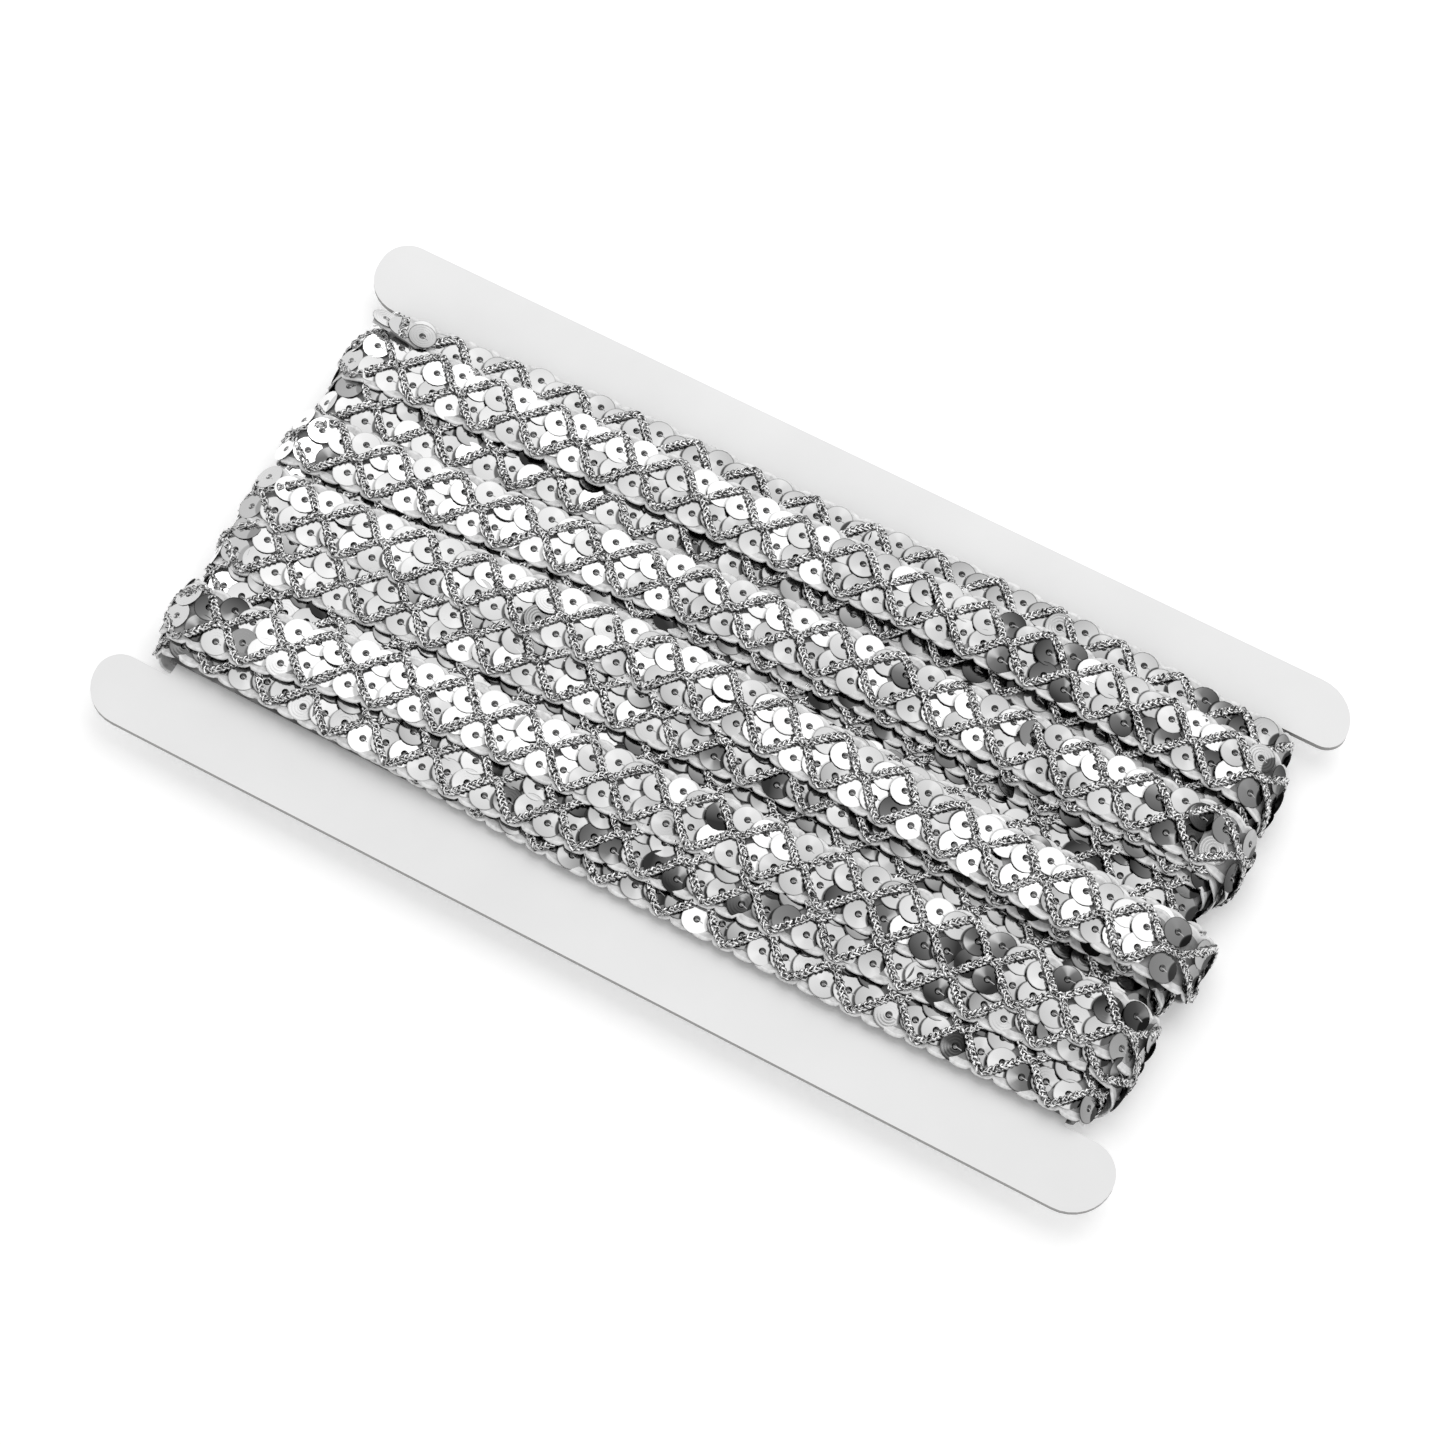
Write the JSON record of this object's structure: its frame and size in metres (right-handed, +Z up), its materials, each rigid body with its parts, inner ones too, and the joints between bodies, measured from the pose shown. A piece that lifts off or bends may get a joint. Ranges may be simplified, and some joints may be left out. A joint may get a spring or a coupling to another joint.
{
  "type": "sequin trim wound on a display card",
  "caption": "Flat braid of silver sequins and crossing metal yarn, wound in layered runs round the waist of a white H-shaped card.",
  "frame": {"origin": "under the middle of the card, on the surface that the wound trim rests on", "axes": "+X along the card's two long bars, +Y from the near bar to the far bar, +Z up through the card"},
  "size_m": [0.223, 0.125, 0.0167],
  "materials": {
    "board": "smooth white board",
    "sequin_braid": "silver sequins on braid"
  },
  "bodies": {
    "root": {"display_card": "board", "wound_trim": "sequin_braid", "trim_cut_end": "sequin_braid"}
  },
  "joints": []
}
